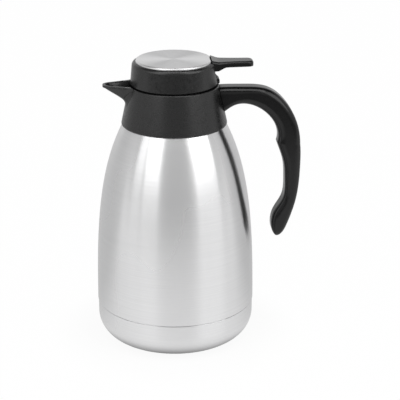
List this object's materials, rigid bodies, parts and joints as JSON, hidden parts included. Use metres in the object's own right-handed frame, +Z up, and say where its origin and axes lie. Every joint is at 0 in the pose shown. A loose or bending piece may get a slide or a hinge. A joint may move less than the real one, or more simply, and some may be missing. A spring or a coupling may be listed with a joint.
{
  "type": "thermal jug",
  "caption": "Tall tapering steel vacuum jug with a black spout collar, an open-ended handle and a screw-in lid whose thumb lever lifts the pour valve.",
  "frame": {"origin": "centre of the ring that the jug stands on", "axes": "+Z up along the jug's axis, +X towards the handle, -X towards the spout"},
  "size_m": [0.1818, 0.1406, 0.2553],
  "materials": {
    "body_steel": "satin, brushed round the body",
    "liner_steel": "plain rolled",
    "disc_steel": "satin, brushed in circles",
    "screw_steel": "plain",
    "black_plastic": "fine matt grain",
    "inner_plastic": "smooth moulded",
    "silicone": "soft, translucent grey"
  },
  "bodies": {
    "jug": {"outer_shell": "body_steel", "inner_liner": "liner_steel", "base_cup": "body_steel", "getter": "liner_steel", "exhaust_plug": "liner_steel", "collar": "black_plastic", "neck_gasket": "silicone", "handle": "black_plastic", "handle_screws": "screw_steel"},
    "seal": {"stopper_seal": "silicone"},
    "lid": {"lid_cap": "black_plastic", "lid_disc": "disc_steel", "lever_pin": "screw_steel", "stopper_cup": "inner_plastic", "stopper_cover": "inner_plastic", "lid_screws": "screw_steel", "stem_seal": "silicone"},
    "lever": {"lever": "black_plastic"},
    "valve": {"valve_stem": "inner_plastic", "valve_washer": "silicone", "stem_head": "inner_plastic", "valve_spring": "screw_steel"}
  },
  "joints": [
    {"name": "lid_rise", "type": "slide", "parent": "jug", "child": "seal", "axis": [0, 0, 1], "range_m": [0, 0.00405]},
    {"name": "lid_twist", "type": "hinge", "parent": "seal", "child": "lid", "pos_m": [0, 0, 0.2], "axis": [0, 0, 1], "range_deg": [0, 90]},
    {"name": "lever_press", "type": "hinge", "parent": "lid", "child": "lever", "pos_m": [0.022, 0, 0.2466], "axis": [0, 1, 0], "range_deg": [0, 12], "stiffness_Nm_per_rad": 0.3, "springref_deg": -20.05},
    {"name": "valve_lift", "type": "slide", "parent": "lid", "child": "valve", "axis": [0, 0, 1], "range_m": [0, 0.0048], "deforming": ["valve_spring"]}
  ],
  "couplings": [
    {"joint": "lid_rise", "follows": "lid_twist", "m_per_rad": 0.0025465},
    {"joint": "valve_lift", "follows": "lever_press", "m_per_rad": 0.02263}
  ]
}
